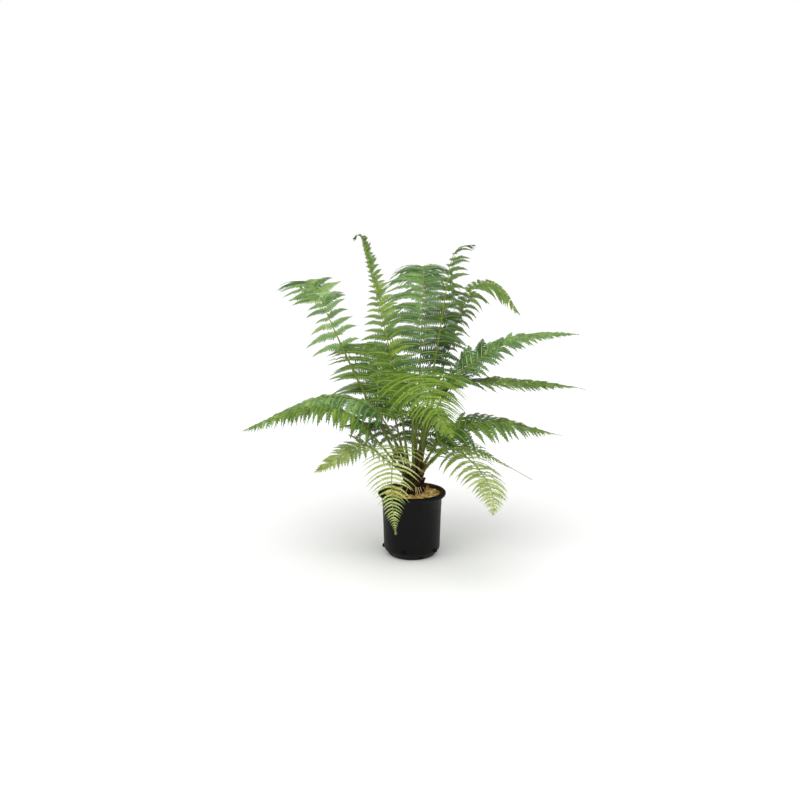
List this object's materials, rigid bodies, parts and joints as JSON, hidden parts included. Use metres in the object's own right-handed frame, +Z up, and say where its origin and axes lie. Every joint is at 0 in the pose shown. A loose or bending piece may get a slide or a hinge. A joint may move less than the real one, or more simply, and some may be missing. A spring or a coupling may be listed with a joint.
{
  "type": "potted tree fern",
  "caption": "Young tree fern with a short fibrous trunk and a full crown of arching feathery fronds, growing in a round black nursery pot with bark mulch.",
  "frame": {"origin": "centre of the pot's flat underside", "axes": "+Z up the trunk, +X to the right and +Y to the back as seen from the front"},
  "size_m": [1.2448, 1.21, 1.1524],
  "materials": {
    "pot_plastic": "black blow-moulded plastic, half matt",
    "potting_mix": "dark peat and composted bark",
    "bark_mulch": "tan shredded bark, dry",
    "trunk_fibre": "dark brown matted fibre and old stalk bases",
    "crozier_scales": "brown papery scales",
    "frond_stalk": "olive green stalk, brown and scaly at the foot",
    "frond_blade": "leaflets in mid green, paler beneath"
  },
  "bodies": {
    "root": {"crozier_left": "crozier_scales", "crozier_middle": "crozier_scales", "frond_01_tall_left_blade": "frond_blade", "frond_01_tall_left_stalk": "frond_stalk", "frond_02_back_crest_blade_1": "frond_blade", "frond_02_back_crest_blade_2": "frond_blade", "frond_02_back_crest_stalk": "frond_stalk", "frond_03_right_arch_blade_1": "frond_blade", "frond_03_right_arch_blade_2": "frond_blade", "frond_03_right_arch_stalk": "frond_stalk", "frond_04_tall_back_blade": "frond_blade", "frond_04_tall_back_stalk": "frond_stalk", "frond_05_left_upper_blade_1": "frond_blade", "frond_05_left_upper_blade_2": "frond_blade", "frond_05_left_upper_stalk": "frond_stalk", "frond_06_left_back_blade_1": "frond_blade", "frond_06_left_back_blade_2": "frond_blade", "frond_06_left_back_stalk": "frond_stalk", "frond_07_left_long_blade_1": "frond_blade", "frond_07_left_long_blade_2": "frond_blade", "frond_07_left_long_stalk": "frond_stalk", "frond_08_left_low_blade_1": "frond_blade", "frond_08_left_low_blade_2": "frond_blade", "frond_08_left_low_stalk": "frond_stalk", "frond_09_front_left_blade": "frond_blade", "frond_09_front_left_stalk": "frond_stalk", "frond_10_front_drooping_blade_1": "frond_blade", "frond_10_front_drooping_blade_2": "frond_blade", "frond_10_front_drooping_stalk": "frond_stalk", "frond_11_front_right_blade_1": "frond_blade", "frond_11_front_right_blade_2": "frond_blade", "frond_11_front_right_stalk": "frond_stalk", "frond_12_right_low_blade": "frond_blade", "frond_12_right_low_stalk": "frond_stalk", "frond_13_right_middle_blade_1": "frond_blade", "frond_13_right_middle_blade_2": "frond_blade", "frond_13_right_middle_stalk": "frond_stalk", "frond_14_right_level_blade_1": "frond_blade", "frond_14_right_level_blade_2": "frond_blade", "frond_14_right_level_stalk": "frond_stalk", "frond_15_right_rising_blade_1": "frond_blade", "frond_15_right_rising_blade_2": "frond_blade", "frond_15_right_rising_stalk": "frond_stalk", "frond_16_front_arch_blade_1": "frond_blade", "frond_16_front_arch_blade_2": "frond_blade", "frond_16_front_arch_stalk": "frond_stalk", "frond_17_back_left_low_blade": "frond_blade", "frond_17_back_left_low_stalk": "frond_stalk", "frond_18_back_low_blade": "frond_blade", "frond_18_back_low_stalk": "frond_stalk", "frond_19_back_right_low_blade": "frond_blade", "frond_19_back_right_low_stalk": "frond_stalk", "mulch": "bark_mulch", "pot": "pot_plastic", "root_ball": "potting_mix", "trunk": "trunk_fibre"}
  },
  "joints": []
}
